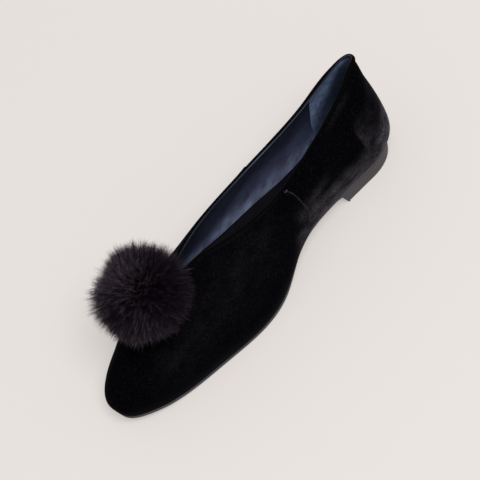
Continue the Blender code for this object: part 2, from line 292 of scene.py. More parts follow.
def both_sides(rows_of_stations, shares):
    """One sheet over the inner and outer walls: its points, their outward normals, their stations,
    shares of the wall and sides, and its faces."""
    stations = np.array(rows_of_stations)
    rows, columns = stations.shape
    points, quads, labels = [], [], []
    for side in SIDES:
        faces = grid_quads(rows, columns) + len(points) * rows * columns
        quads.append(faces if side == INNER else faces[:, ::-1])
        points.append(wall_points(stations, shares, side).reshape(-1, 3))
        label = np.broadcast_arrays(stations, shares, side)
        labels.append(np.stack(label, axis=-1).reshape(-1, 3))
    points, labels = np.concatenate(points), np.concatenate(labels)
    first, faces = weld(points, np.concatenate(quads))
    points = points[first]
    return points, point_normals(points, faces), labels[first].T, faces


# Colours, linear.
VELVET_DEEP = (0.0007, 0.0006, 0.0009, 1)
VELVET_PILE = (0.0020, 0.0017, 0.0026, 1)
VELVET_SPECK = (0.0078, 0.0068, 0.0096, 1)
VELVET_NAP_AND_HIGHLIGHT = (0.100, 0.094, 0.113, 1)
VELVET_SHEEN = (0.75, 0.73, 0.82, 1)
LINING_NAVY = (0.0365, 0.0385, 0.073, 1)
LINING_SLATE = (0.056, 0.067, 0.122, 1)
LINING_PAINTED_LIGHT = (0.168, 0.206, 0.330, 1)
SUEDE_SHADED = (0.010, 0.014, 0.027, 1)
SUEDE_LIT = (0.36, 0.505, 0.865, 1)
SUEDE_SHEEN = (0.45, 0.62, 1.0, 1)
SOCK_DARK = (0.0050, 0.0044, 0.0070, 1)
SOCK_LIGHT = (0.0082, 0.0074, 0.0112, 1)
RUBBER_DARK = (0.060, 0.056, 0.063, 1)
RUBBER_LIGHT = (0.082, 0.077, 0.085, 1)
RUBBER_SCUFFED = (0.115, 0.108, 0.116, 1)
TAPE_DARK = (0.0014, 0.0013, 0.0017, 1)
TAPE_CREST_HIGHLIGHT = (0.080, 0.084, 0.102, 1)
TAPE_EDGE_HIGHLIGHT = (0.25, 0.31, 0.44, 1)
THREAD_DARK = (0.018, 0.018, 0.023, 1)
THREAD_LIGHT = (0.060, 0.061, 0.072, 1)
FUR_ROOT = (0.0042, 0.0018, 0.0052, 1)
FUR_TIP_DARK = (0.0120, 0.0062, 0.0150, 1)
FUR_TIP_LIGHT = (0.242, 0.196, 0.240, 1)
PAPER_DARK = (0.452, 0.431, 0.414, 1)
PAPER_LIGHT = (0.460, 0.438, 0.421, 1)
PAPER_GLOW = (1.0, 0.952, 0.915, 1)
WORLD_LIGHT = (1.0, 0.985, 0.97, 1)
KEY_LIGHT = (1.0, 0.99, 0.975)

# Streaks in a material: their size across, along and up the shoe, and their slope up to the heel.
NAP_STREAK, NAP_SLOPE = (6.0 * MM, 20 * MM, 5.0 * MM), math.radians(8)
PILE_FIBRE = (1, 1 / 0.6, 1)
LINING_CLOUD, LINING_CLOUD_SLOPE = (7 * MM, 20 * MM, 9 * MM), 0.5
LINING_BRUSH, LINING_BRUSH_SLOPE = (3 * MM, 11 * MM, 3 * MM), 0.35
SCUFF_STREAK = (18 * MM, 18 * MM, 2 * MM)


class Look:
    """A material with helpers for its nodes. Noise scales are per metre, or per streak."""

    def __init__(self, name):
        self.material = bpy.data.materials.new(name)
        self.material.use_nodes = True
        self.tree = self.material.node_tree

    def feed(self, node, inputs):
        for key, value in inputs.items():
            if isinstance(value, bpy.types.NodeSocket):
                self.tree.links.new(value, node.inputs[key])
            else:
                node.inputs[key].default_value = value

    def node(self, kind, inputs, output, **settings):
        node = self.tree.nodes.new("ShaderNode" + kind)
        for key, value in settings.items():
            setattr(node, key, value)
        self.feed(node, inputs)
        return node.outputs[output]

    def place(self, sizes=None, slope=0.0):
        """Object coordinates, in units of a streak's sizes where these are given."""
        place = self.node("TexCoord", {}, "Object")
        if sizes is None:
            return place
        inputs = {"Vector": place, "Scale": sizes, "Rotation": (slope, 0, 0)}
        return self.node("Mapping", inputs, "Vector", vector_type="TEXTURE")

    def noise(self, scale, detail=3.0, roughness=0.6, streak=(None,)):
        inputs = {"Scale": scale, "Detail": detail, "Roughness": roughness}
        return self.node("TexNoise", {"Vector": self.place(*streak), **inputs}, "Fac")

    def spread(self, value, low, high, to_low=0.0, to_high=1.0):
        limits = {"From Min": low, "From Max": high, "To Min": to_low, "To Max": to_high}
        return self.node("MapRange", {"Value": value, **limits}, "Result")

    def plus(self, first, second):
        return self.node("Math", {0: first, 1: second}, 0, operation="ADD")

    def times(self, first, second):
        return self.node("Math", {0: first, 1: second}, 0, operation="MULTIPLY")

    def painted(self, key):
        return self.node("Attribute", {}, "Fac", attribute_name=key)

    def mix(self, share, first, second):
        return self.node("Mix", {0: share, 6: first, 7: second}, 2, data_type="RGBA")

    def bump(self, height, strength, depth, **base):
        inputs = {"Height": height, "Strength": strength, "Distance": depth}
        return self.node("Bump", inputs | base, "Normal")

    def done(self, colour, roughness, specular, **others):
        """Feeds the shader, with an underscore for each space in its sockets' names."""
        inputs = {"Base Color": colour, "Roughness": roughness, "Specular IOR Level": specular}
        inputs |= {key.replace("_", " "): value for key, value in others.items()}
        self.feed(self.tree.nodes["Principled BSDF"], inputs)
        return self.material


def velvet_material():
    """Near-black cut pile with a fine grain, grey where brushed, and with painted sheen, highlights and
    shade.
    """
    look = Look("velvet_pile")
    grain = look.noise(950.0, roughness=0.75)
    brushed = look.noise(1.0, 4.0, 0.62, (NAP_STREAK, NAP_SLOPE))
    cloud = look.noise(110.0, 4.0, 0.65)
    streak = look.spread(look.plus(brushed, cloud), 0.78, 1.24, 0.30, 1.35)
    faint = look.times(look.spread(cloud, 0.45, 0.75), 0.004)
    lifted = look.plus(look.times(look.painted("nap_and_painted_light"), streak), faint)
    speckled = look.times(lifted, look.spread(grain, 0.34, 0.66, 0.35, 1.6))
    dark = look.mix(look.spread(grain, 0.38, 0.64), VELVET_DEEP, VELVET_PILE)
    fibre = look.noise(1300.0, 1.0, 0.5, (PILE_FIBRE,))
    dark = look.mix(look.spread(fibre, 0.60, 0.76), dark, VELVET_SPECK)
    colour = look.mix(speckled, dark, VELVET_NAP_AND_HIGHLIGHT)
    rough = look.spread(grain, 0.3, 0.7, 0.85, 1.0)
    relief = look.bump(grain, 0.4, 0.3 * MM)
    sheen = {"Sheen_Weight": 0.03, "Sheen_Roughness": 0.4, "Sheen_Tint": VELVET_SHEEN}
    return look.done(colour, rough, 0.0, Normal=relief, **sheen)


def binding_material():
    """Narrow gathered tape in black, with painted highlights on its ribbed crest and along the inner face.
    """
    look = Look("binding_tape")
    grain = look.noise(1500.0)
    ridge = look.times(look.painted("light_share"), look.spread(grain, 0.3, 0.7, 0.4, 1.3))
    highlight = look.times(look.painted("highlight"), look.spread(grain, 0.3, 0.7, 0.6, 1.2))
    colour = look.mix(highlight, look.mix(ridge, TAPE_DARK, TAPE_CREST_HIGHLIGHT), TAPE_EDGE_HIGHLIGHT)
    rough = look.spread(grain, 0.3, 0.7, 0.6, 0.8)
    return look.done(colour, rough, 0.02, Normal=look.bump(grain, 0.3, 0.15 * MM))


def thread_material():
    """Slate sewing thread, mottled lighter by a fine grain."""
    look = Look("sewing_thread")
    grain = look.noise(2600.0, 2.0)
    lit = look.times(look.painted("light_share"), look.spread(grain, 0.3, 0.7, 0.5, 1.2))
    colour = look.mix(lit, THREAD_DARK, THREAD_LIGHT)
    return look.done(colour, look.spread(grain, 0.3, 0.7, 0.6, 0.8), 0.15)


def lining_material():
    """Navy lining leather with painted light low down on the wall and faintly on the upper wall, and a
    fine pore grain.
    """
    look = Look("lining_leather")
    cloud = look.noise(1.0, 4.0, 0.6, (LINING_CLOUD, LINING_CLOUD_SLOPE))
    brushed = look.noise(1.0, 5.0, 0.72, (LINING_BRUSH, LINING_BRUSH_SLOPE))
    grain = look.noise(1400.0)
    pores = look.node("TexVoronoi", {"Vector": look.place(), "Scale": 1500.0}, "Distance")
    highlight = look.spread(cloud, 0.36, 0.62, 0.25, 1.15)
    highlight = look.times(highlight, look.spread(brushed, 0.34, 0.66, 0.35, 1.35))
    painted_light = look.times(look.painted("painted_light"), highlight)
    streaked = look.spread(look.plus(cloud, brushed), 0.8, 1.25)
    colour = look.mix(painted_light, look.mix(streaked, LINING_NAVY, LINING_SLATE), LINING_PAINTED_LIGHT)
    rough = look.spread(grain, 0.3, 0.7, 0.46, 0.6)
    relief = look.bump(pores, 0.2, 0.15 * MM, Normal=look.bump(grain, 0.15, 0.2 * MM))
    return look.done(colour, rough, 0.15, Normal=relief)


def suede_material():
    """Blue-grey suede of the heel grip, with painted shade low down and on the outer side, mottled by its
    pile.
    """
    look = Look("heel_grip_suede")
    cloud = look.noise(230.0, 4.0, 0.7)
    grain = look.noise(1700.0, roughness=0.7)
    nap_and_painted_light = look.times(look.painted("painted_light"), look.spread(cloud, 0.34, 0.66, 0.55, 1.3))
    colour = look.mix(nap_and_painted_light, SUEDE_SHADED, SUEDE_LIT)
    rough = look.spread(grain, 0.3, 0.7, 0.8, 0.95)
    relief = look.bump(grain, 0.4, 0.3 * MM)
    sheen = {"Sheen_Weight": 0.10, "Sheen_Roughness": 0.5, "Sheen_Tint": SUEDE_SHEEN}
    return look.done(colour, rough, 0.04, Normal=relief, **sheen)


def sock_material():
    """Dark smooth leather under the foot."""
    look = Look("sock_leather")
    cloud, grain = look.noise(60.0), look.noise(1300.0)
    colour = look.mix(look.spread(cloud, 0.35, 0.7), SOCK_DARK, SOCK_LIGHT)
    rough = look.spread(grain, 0.3, 0.7, 0.5, 0.65)
    return look.done(colour, rough, 0.06, Normal=look.bump(grain, 0.2, 0.2 * MM))


def rubber_material():
    """Moulded rubber with a slightly scuffed, mottled surface."""
    look = Look("sole_rubber")
    cloud, grain = look.noise(90.0, 4.0), look.noise(2200.0, 2.0)
    scuff = look.noise(1.0, 4.0, 0.7, (SCUFF_STREAK,))
    colour = look.mix(look.spread(cloud, 0.35, 0.7), RUBBER_DARK, RUBBER_LIGHT)
    colour = look.mix(look.spread(scuff, 0.58, 0.8, 0.0, 0.5), colour, RUBBER_SCUFFED)
    rough = look.spread(cloud, 0.3, 0.7, 0.5, 0.66)
    return look.done(colour, rough, 0.12, Normal=look.bump(grain, 0.18, 0.15 * MM))


def fur_material():
    """Faux fur: dark at the root, grey-mauve towards the tip, each hair its own shade, with painted light
    and shade by tuft.
    """
    look = Look("faux_fur")
    along, shade = look.painted("along"), look.painted("shade")
    tip = look.mix(shade, FUR_TIP_DARK, FUR_TIP_LIGHT)
    colour = look.mix(look.spread(along, 0.3, 1.0), FUR_ROOT, tip)
    return look.done(colour, look.spread(shade, 0, 1, 0.45, 0.65), 0.08)


# Upper: vamp and quarters in velvet.
WALL_COLUMNS, FRONT_ROWS, WING_ROWS, QUARTER_ROWS = 57, 110, 76, 96
FRONT_CROWDING, BACK_CROWDING = 3.0, 1.8
VELVET_THICKNESS = 0.5 * MM
# The side seam, where the vamp laps over the quarter: its station by the share of the wall.
seam_station = table_curve(
    (0.00, 0.596), (0.12, 0.614), (0.24, 0.634), (0.35, 0.647),
    (0.50, 0.652), (0.70, 0.650), (0.88, 0.645), (1.00, 0.634),
)
SEAM_LAP = 5.0 * MM
SEAM_RISE, SEAM_RISE_REACH, SEAM_RIM_FADE = 0.45 * MM, 14 * MM, 0.07
# The vamp's folded edge along the seam is painted lighter, a highlight on its grey fuzz: strength and half
# width.
SEAM_LIGHT, SEAM_LIGHT_WIDTH = 0.30, 0.32 * MM
# Rows of points by the vamp's edge: those ahead of it, then those behind it and how far they roll in.
SEAM_AHEAD = (-0.5 * MM, -0.2 * MM)
SEAM_BEHIND = np.array([0.0, 0.2, 0.35, 0.45]) * MM
SEAM_ROLL = np.array([0.0, 0.10, 0.35, 0.80]) * MM
# The pile is brushed up along the lower quarters: how light it is at the feather line, how light
# above it and the share of the wall that this reaches up to, by station.
NAP = table_curves(
    "foot low low_top",
    (0.50, 0.00, 0.00, 0.24), (0.56, 0.06, 0.10, 0.34), (0.60, 0.20, 0.42, 0.42),
    (0.64, 0.30, 0.56, 0.46), (0.68, 0.60, 0.46, 0.50), (0.72, 0.58, 0.38, 0.48),
    (0.76, 0.24, 0.40, 0.46), (0.80, 0.04, 0.44, 0.41), (0.84, 0.06, 0.34, 0.39),
    (0.88, 0.10, 0.34, 0.42), (0.92, 0.24, 0.62, 0.44), (0.96, 0.28, 0.64, 0.46),
    (1.00, 0.20, 0.60, 0.46),
)
NAP_START, NAP_FADE, NAP_FOOT, INNER_NAP = 0.5, 0.30, 0.11, 0.6
# Behind the front edge of the heel's stiffener the pile turns over: the edge's station by the share
# of the wall, then the pile's light, its rise, its run and what stays of it, and its upper end.
counter_station = table_curve(
    (0.00, 0.845), (0.25, 0.852), (0.40, 0.857), (0.55, 0.857),
    (0.66, 0.869), (0.73, 0.896), (0.80, 0.93), (1.00, 1.02),
)
COUNTER_NAP, COUNTER_NAP_RISE, COUNTER_NAP_RUN, COUNTER_NAP_KEPT = 0.26, 0.010, 0.024, 0.15
COUNTER_NAP_TOP, COUNTER_NAP_FADE = 0.70, 0.20
# The stiffener shows as a soft step: its run, its height, and where it fades out below the rim.
COUNTER_RUN, COUNTER_STEP, COUNTER_TOP, COUNTER_FADE = 5.0 * MM, 0.28 * MM, 0.90, 0.25
BACK_SEAM_WIDTH, BACK_SEAM_DEPTH = 0.55 * MM, 0.40 * MM
# Soft patches of brushed pile, and two painted highlights, a streak below the rim at station 0.875
# and a sheen on the heel's back edge: station, share of the wall, half length, half height and strength.
NAP_AND_HIGHLIGHT_PATCHES = (
    (0.628, 0.470, 0.015, 0.110, 0.13),
    (0.602, 0.350, 0.020, 0.080, 0.08),
    (0.665, 0.430, 0.020, 0.110, 0.18),
    (0.688, 0.500, 0.026, 0.070, 0.16),
    (0.725, 0.520, 0.020, 0.060, 0.07),
    (0.740, 0.300, 0.030, 0.070, 0.10),
    (0.875, 0.925, 0.050, 0.035, 0.07),
    (0.990, 0.480, 0.024, 0.300, 0.09),
)
# A faint painted sheen runs back over the vamp: the share of the wall it is strongest at, by station.
sheen_share = table_curve((0.0, 0.45), (0.16, 0.50), (0.30, 0.55), (0.50, 0.70), (0.62, 0.80))
SHEEN_NAP, SHEEN_HALF, SHEEN_FROM, SHEEN_TO, SHEEN_RUN = 0.032, 0.24, 0.06, 0.62, 0.12
# A painted highlight on the fuzzy pile along the vamp's rim: strength, share of the wall, where it starts
# and ends.
RIM_FUZZ, RIM_FUZZ_SHARE, RIM_FUZZ_RISE = 0.03, 0.94, 0.05
RIM_FUZZ_TO, RIM_FUZZ_FADE = 0.66, 0.08
# Soft folds pressed into the velvet: side, station, share of the wall, half length in stations,
# share gained along the station, half width and depth in millimetres. A negative depth is a ridge.
FOLDS = (
    (OUTER, 0.745, 0.41, 0.050, -0.5, 2.4, 0.50),
    (OUTER, 0.735, 0.22, 0.050, -2.4, 1.2, 0.25),
    (OUTER, 0.765, 0.20, 0.045, -2.0, 1.2, 0.22),
    (OUTER, 0.690, 0.62, 0.030, -1.2, 3.0, 0.25),
    (OUTER, 0.648, 0.20, 0.022, -2.6, 2.6, 0.35),
    (OUTER, 0.820, 0.34, 0.040, -0.8, 3.4, -0.30),
    (INNER, 0.720, 0.44, 0.055, -1.4, 3.6, 0.45),
    (INNER, 0.765, 0.22, 0.055, -0.9, 3.0, 0.35),
)
FOLD_TAPER = 1.4
# Painted shade darkens the pile in a trough and a painted highlight lightens it on a ridge: by how
# much for each metre, and the limits.
TROUGH_DARKENING, TROUGH_LIMITS = 0.9 / (0.5 * MM), (0.15, 1.3)


def nap_and_painted_light_values(station, share, side):
    """How far the pile was brushed up at each point, with painted sheen, highlights and fold shade mixed
    in.
    """
    kept = np.where(side == OUTER, 1.0, INNER_NAP)
    low = np.clip(NAP["low"](station), 0, 1) * smooth_step((NAP["low_top"](station) - share) / NAP_FADE)
    foot = np.clip(NAP["foot"](station), 0, 1) * np.exp(-share / NAP_FOOT)
    nap_and_painted_light = np.where(station < NAP_START, 0.0, low + foot)
    behind = station - counter_station(share)
    fallen = np.exp(-np.clip(behind, 0, 1) / COUNTER_NAP_RUN)
    turned = kept * COUNTER_NAP * smooth_step(behind / COUNTER_NAP_RISE)
    turned = turned * (COUNTER_NAP_KEPT + (1 - COUNTER_NAP_KEPT) * fallen)
    nap_and_painted_light = np.maximum(nap_and_painted_light, turned * smooth_step((COUNTER_NAP_TOP - share) / COUNTER_NAP_FADE))
    # Patches of brushed pile, two of them painted highlights.
    for middle, height, half_length, half_height, strength in NAP_AND_HIGHLIGHT_PATCHES:
        nap_and_painted_light += strength * bell((station - middle) / half_length) * bell((share - height) / half_height)
    # Painted sheen along the vamp.
    sheen = SHEEN_NAP * bell((share - sheen_share(station)) / SHEEN_HALF)
    sheen = sheen * smooth_step((station - SHEEN_FROM) / SHEEN_RUN)
    nap_and_painted_light += sheen * smooth_step((SHEEN_TO - station) / SHEEN_RUN)
    # Painted highlight on the fuzzy pile of the vamp's rim.
    fuzz = RIM_FUZZ * smooth_step((share - RIM_FUZZ_SHARE) / (1 - RIM_FUZZ_SHARE))
    fuzz = fuzz * smooth_step((station - THROAT_STATION) / RIM_FUZZ_RISE)
    nap_and_painted_light += fuzz * smooth_step((RIM_FUZZ_TO - station) / RIM_FUZZ_FADE)
    folds = fold_depths(station, share, side)
    # Painted shade in the folds' troughs, painted highlight on their ridges.
    return nap_and_painted_light * kept * np.clip(1 - TROUGH_DARKENING * folds, *TROUGH_LIMITS)


def fold_depths(station, share, side):
    """How deep each point of the velvet is pressed in by the folds around it."""
    total = np.zeros(len(station))
    for fold_side, middle, height, half_length, slope, half_width, depth in FOLDS:
        along = (station - middle) / half_length
        rise = LAST["crown"](station) * (share - height - slope * (station - middle))
        trough = depth * MM * bell(rise / half_width) * smooth_step(FOLD_TAPER * (1 - np.abs(along)))
        total += np.where(side == fold_side, trough, 0.0)
    return total


def front_rows(count, columns):
    """Rows of points ahead of the throat, close together at the toe."""
    front = THROAT_STATION * np.linspace(0, 1, count) ** FRONT_CROWDING
    return [np.full(columns, station) for station in front]


def back_rows(start, count):
    """Rows of points from a front edge back to the heel, close together there."""
    steps = np.linspace(0, 1, count)[:, None]
    return 1 - (1 - start) * (1 - steps) ** BACK_CROWDING


def build_vamp(material):
    shares = np.linspace(0, 1, WALL_COLUMNS)
    steps = np.linspace(0, 1, WING_ROWS)[1:-1, None]
    wings = THROAT_STATION + (seam_station(shares) - THROAT_STATION) * steps ** (1 + shares)
    edges = [seam_station(shares) + step / LENGTH for step in (*SEAM_AHEAD, *SEAM_BEHIND)]
    rows = [*front_rows(FRONT_ROWS, WALL_COLUMNS), *wings, *edges]
    points, normals, labels, faces = both_sides(rows, shares)
    station, share, _ = labels
    behind = (station - seam_station(share)) * LENGTH
    rise = SEAM_RISE * smooth_step(1 + behind / SEAM_RISE_REACH) * smooth_step((1 - share) / SEAM_RIM_FADE)
    rolled = np.interp(behind, SEAM_BEHIND, SEAM_ROLL)
    points = points + normals * (rise - rolled - fold_depths(*labels))[:, None]
    # Painted highlight on the grey fuzz of the vamp's folded edge at the seam.
    nap_and_painted_light = nap_and_painted_light_values(*labels) + SEAM_LIGHT * bell(behind / SEAM_LIGHT_WIDTH)
    return add_piece("vamp", points, faces, material, "velvet", {"nap_and_painted_light": nap_and_painted_light})


def build_quarters(material):
    shares = np.linspace(0, 1, WALL_COLUMNS)
    rows = back_rows(seam_station(shares) - SEAM_LAP / LENGTH, QUARTER_ROWS)
    points, normals, labels, faces = both_sides(rows, shares)
    station, share, _ = labels
    behind = (station - counter_station(share)) * LENGTH
    counter = COUNTER_STEP * smooth_step(0.5 + behind / COUNTER_RUN)
    counter = counter * smooth_step((COUNTER_TOP - share) / COUNTER_FADE)
    from_seam = points[:, 0] - LAST["centre"](1.0) * MM - STAND_SHIFT[0]
    groove = np.where(station > BACK_START, BACK_SEAM_DEPTH * bell(from_seam / BACK_SEAM_WIDTH), 0.0)
    points = points + normals * (counter - groove - fold_depths(*labels))[:, None]
    return add_piece("quarters", points, faces, material, "velvet", {"nap_and_painted_light": nap_and_painted_light_values(*labels)})


# A bar of thread holds the top of each side seam: its place on the wall, half length and threads,
# and how far the threads stand up in the middle and drop at the ends, in their own radius.
TACK_SHARE, TACK_STATION = 0.955, 0.64
TACK_HALF, TACK_SPACING, TACK_RADIUS = 1.1 * MM, 0.17 * MM, 0.11 * MM
TACK_THREADS, TACK_STEPS, TACK_SIDES = 5, 13, 6
TACK_ARCH, TACK_DROP = 1.2, 1.6


def build_tacks(material):
    """Small bar tacks across the top of the side seams, as arched threads side by side."""
    steps = np.linspace(-1, 1, TACK_STEPS)
    turns = np.linspace(0, 2 * math.pi, TACK_SIDES, endpoint=False)[:, None]
    quads = grid_quads(TACK_STEPS, TACK_SIDES, closed=True)
    points, faces = [], []
    for side in SIDES:
        for k in range(TACK_THREADS):
            down = (k - (TACK_THREADS - 1) / 2) * TACK_SPACING
            share = TACK_SHARE - down / (LAST["crown"](TACK_STATION) * MM)
            station = seam_station(share) + steps[:, None] * TACK_HALF / LENGTH
            place = wall_points(station, share, side)[:, 0]
            along = unit(place[-1] - place[0])
            out = unit(np.cross(along, np.array([0.0, 0.0, 1.0])))
            out = out * np.sign(out[0]) * side
            rise = SEAM_RISE + TACK_RADIUS * (TACK_ARCH - TACK_DROP * steps**4)
            ring = np.cos(turns) * out + np.sin(turns) * np.cross(along, out)
            tube = (place + out * rise[:, None])[:, None] + ring * TACK_RADIUS
            faces.append(quads + len(points) * TACK_STEPS * TACK_SIDES)
            points.append(tube.reshape(-1, 3))
    points, faces = np.concatenate(points), np.concatenate(faces)
    return add_piece("seam_tacks", points, faces, material, "velvet", {"light_share": np.ones(len(points))})


# Lining with its heel grip.
LINING_FRONT_ROWS, LINING_ROWS, LINING_COLUMNS, GRIP_ROWS = 40, 150, 41, 60
LINING_DEPTH = 1.15 * MM
# The lining is painted light low on the wall: millimetres above the feather line, by station, the
# shares of that where it starts to fade and over which it does, and where it is painted weaker.
painted_light_height = table_curve(
    (0.2, 15), (0.45, 14), (0.54, 11.5), (0.62, 8.5), (0.70, 7), (0.80, 7), (1.0, 6)
)
PAINTED_LIGHT_FULL, PAINTED_LIGHT_FADE = 0.40, 0.70
PAINTED_LIGHT_LESS, PAINTED_LIGHT_LESS_FROM, PAINTED_LIGHT_LESS_RUN = 0.50, 0.56, 0.10
# A fainter painted light on the upper wall: its strength, and the share of the wall where it starts and
# its run.
TOP_PAINTED_LIGHT, TOP_PAINTED_LIGHT_FROM, TOP_PAINTED_LIGHT_RUN = 0.22, 0.45, 0.35
# Front edge of the heel grip: its station by the share of the wall.
grip_station = table_curve((0.0, 0.852), (0.1, 0.860), (0.2, 0.868), (0.45, 0.877), (1.0, 0.884))
GRIP_LOW, GRIP_TOP, GRIP_PROUD, GRIP_EDGE = 0.02, 0.985, 0.45 * MM, 0.5 * MM
# Painted shade darkens the grip below a line that rises to the back: its share of the wall by station.
dark_share = table_curve((0.84, 0.00), (0.888, 0.07), (0.93, 0.17), (0.968, 0.42), (1.0, 0.86))
# Painted shade: the share of light left at its darkest, the fade above the line, and the share left on the
# outer side.
GRIP_DARKEST, GRIP_FADE, GRIP_OUTER = 0.08, 0.30, 0.3


def lining_rows(shares):
    """Rows from the toe to the heel, close together at the throat and at the back."""
    steps = np.linspace(0, 1, LINING_ROWS)[1:, None]
    eased = (1 - np.cos(math.pi * steps)) / 2
    low = (eased + 1 - (1 - steps) ** 2) / 2
    back = THROAT_STATION + (1 - THROAT_STATION) * (low + (eased - low) * shares)
    return [*front_rows(LINING_FRONT_ROWS, len(shares)), *back]


def build_lining(material):
    shares = np.linspace(0, 1, LINING_COLUMNS)
    points, normals, (station, share, _), faces = both_sides(lining_rows(shares), shares)
    height = points[:, 2] - feather_height(station)
    band = painted_light_height(station) * MM
    painted_light = 1 - smooth_step((height - PAINTED_LIGHT_FULL * band) / (PAINTED_LIGHT_FADE * band))
    painted_light = painted_light * (1 - PAINTED_LIGHT_LESS * smooth_step((station - PAINTED_LIGHT_LESS_FROM) / PAINTED_LIGHT_LESS_RUN))
    painted_light = np.maximum(painted_light, TOP_PAINTED_LIGHT * smooth_step((share - TOP_PAINTED_LIGHT_FROM) / TOP_PAINTED_LIGHT_RUN))
    points = points - normals * LINING_DEPTH
    flipped = [face[::-1] for face in faces]
    return add_piece("lining", points, flipped, material, "sock", {"painted_light": painted_light})


def build_heel_grip(material):
    """Suede pad round the inside of the heel, behind a sloping front edge."""
    shares = np.linspace(GRIP_LOW, GRIP_TOP, LINING_COLUMNS)
    rows = back_rows(grip_station(shares), GRIP_ROWS)
    points, normals, (station, share, side), faces = both_sides(rows, shares)
    behind = (station - grip_station(share)) * LENGTH
    proud = GRIP_PROUD * (1 - np.exp(-behind / GRIP_EDGE))
    points = points - normals * (LINING_DEPTH + proud)[:, None]
    # Painted shade, low on the wall and on the outer side.
    lit = GRIP_DARKEST + (1 - GRIP_DARKEST) * smooth_step((share - dark_share(station)) / GRIP_FADE)
    lit = lit * np.where(side == INNER, 1.0, GRIP_OUTER)
    flipped = [face[::-1] for face in faces]
    return add_piece("heel_grip", points, flipped, material, "sock", {"painted_light": lit})


# Binding round the topline.
BINDING_RINGS, BINDING_STEPS, TOPLINE_SAMPLES = 1800, 24, 900
EDGE_STEP = 0.002
RIB_PITCH, RIB_HEIGHT, RIB_DARKEST = 1.35 * MM, 0.07 * MM, 0.35
TAPE_RADIUS, TAPE_SEAT, TAPE_INSET = 0.92 * MM, 0.15 * MM, 0.55 * MM
# A painted highlight runs along the tape's ribs on a narrow crest: its turn round the bead and its half
# width.
CREST_TURN, CREST_WIDTH = math.radians(110), math.radians(24)
# On the inner side the tape is thicker, the painted highlight on its crest is weaker, and its inner
# face carries a line of painted highlight: share of the topline over which that starts, radius, inset
# and loss of crest highlight, the line's turn round the bead and half width, and its strength by station.
FAR_RUN, FAR_RADIUS, FAR_INSET, FAR_CREST_LOSS = 0.07, 1.25 * MM, 0.88 * MM, 0.8
EDGE_HIGHLIGHT_TURN, EDGE_HIGHLIGHT_WIDTH = math.radians(128), math.radians(15)
edge_highlight_strength = table_curve(
    (0.29, 0.20), (0.40, 0.34), (0.48, 0.24), (0.55, 0.24), (0.60, 0.42), (0.64, 0.52),
    (0.68, 0.85), (0.72, 0.62), (0.78, 0.50), (0.86, 0.46), (0.93, 0.30), (1.00, 0.10),
)
# The tape's ends are joined at the heel's back: place along the topline, half length, how far they
# stand out and how much thicker they are.
JOIN_PLACE, JOIN_HALF, JOIN_PROUD, JOIN_SWELL = -3.0 * MM, 5.5 * MM, 0.7 * MM, 0.35 * MM
# The collar is padded on the outer side of the heel: where the padding starts, its run, how far it
# ends before the back and how much thicker it makes the edge.
PADDED_FROM, PADDED_RUN, PADDED_END, PADDED_SWELL = 0.86, 0.08, 14 * MM, 0.75 * MM


def topline_frame(count):
    """Evenly spaced places along the topline: edge, station, up, outward, run and whole length."""
    tops = (1 - np.cos(math.pi * np.linspace(0, 1, TOPLINE_SAMPLES))) / 2
    tops = THROAT_STATION + (1 - THROAT_STATION) * tops
    stations = np.concatenate([tops, tops[-2:0:-1], tops[:1]])
    index = np.arange(len(stations))
    sides = np.where((index < len(tops)) | (index == index[-1]), OUTER, INNER)
    around = topline_around(stations, sides)
    loop = last_surface(stations, around)
    at_throat = (index == 0) | (index == index[-1])
    ahead = np.where(at_throat, EDGE_STEP, 0.0)
    lower = np.where(at_throat, 0.0, sides * EDGE_STEP)
    up = unit(loop - last_surface(stations - ahead, around + lower))
    gone = run_along(loop)
    at = np.linspace(0, gone[-1], count, endpoint=False)
    columns = np.column_stack([loop, up, stations]).T
    columns = np.array([np.interp(at, gone, column) for column in columns]).T
    edge, up, stations = columns[:, :3], columns[:, 3:6], columns[:, 6]
    along = unit(np.roll(edge, -1, axis=0) - np.roll(edge, 1, axis=0))
    up = unit(tangent_of(up, along))
    return edge, stations, up, np.cross(along, up), at, gone[-1]


def build_binding(material):
    """A ribbed bead of tape along the topline."""
    edge, stations, up, outward, at, length = topline_frame(BINDING_RINGS)
    share = at / length
    far = smooth_step((share - 0.5) / FAR_RUN) * smooth_step((1 - share) / FAR_RUN)
    join = bell((at - length / 2 - JOIN_PLACE) / JOIN_HALF)
    padded = PADDED_SWELL * smooth_step((stations - PADDED_FROM) / PADDED_RUN)
    padded = padded * smooth_step((length / 2 - at) / PADDED_END)
    inset = TAPE_INSET + (FAR_INSET - TAPE_INSET) * far - JOIN_PROUD * join + padded
    centre = edge + up * TAPE_SEAT - outward * inset[:, None]
    wave = np.cos(2 * math.pi * round(length / RIB_PITCH) * share)
    radius = TAPE_RADIUS + (FAR_RADIUS - TAPE_RADIUS) * far + JOIN_SWELL * join + padded
    radius = radius + RIB_HEIGHT * (wave - 1) / 2
    turns = np.linspace(0, 2 * math.pi, BINDING_STEPS, endpoint=False)
    ring = np.cos(turns)[:, None] * outward[:, None] + np.sin(turns)[:, None] * up[:, None]
    points = (centre[:, None] + ring * radius[:, None, None]).reshape(-1, 3)
    quads = grid_quads(BINDING_RINGS + 1, BINDING_STEPS, closed=True) % len(points)
    # Painted highlight on the ribs' crest, weaker on the inner side, and a painted highlight line on the
    # inner face.
    lit = (1 - FAR_CREST_LOSS * far) * (RIB_DARKEST + (1 - RIB_DARKEST) * (wave + 1) / 2)
    light_share = np.outer(lit, bell((turns - CREST_TURN) / CREST_WIDTH))
    highlight = np.outer(far * np.clip(edge_highlight_strength(stations), 0, 1), bell((turns - EDGE_HIGHLIGHT_TURN) / EDGE_HIGHLIGHT_WIDTH))
    values = {"light_share": light_share.reshape(-1), "highlight": highlight.reshape(-1)}
    return add_piece("binding", points, quads[:, ::-1], material, "binding", values)


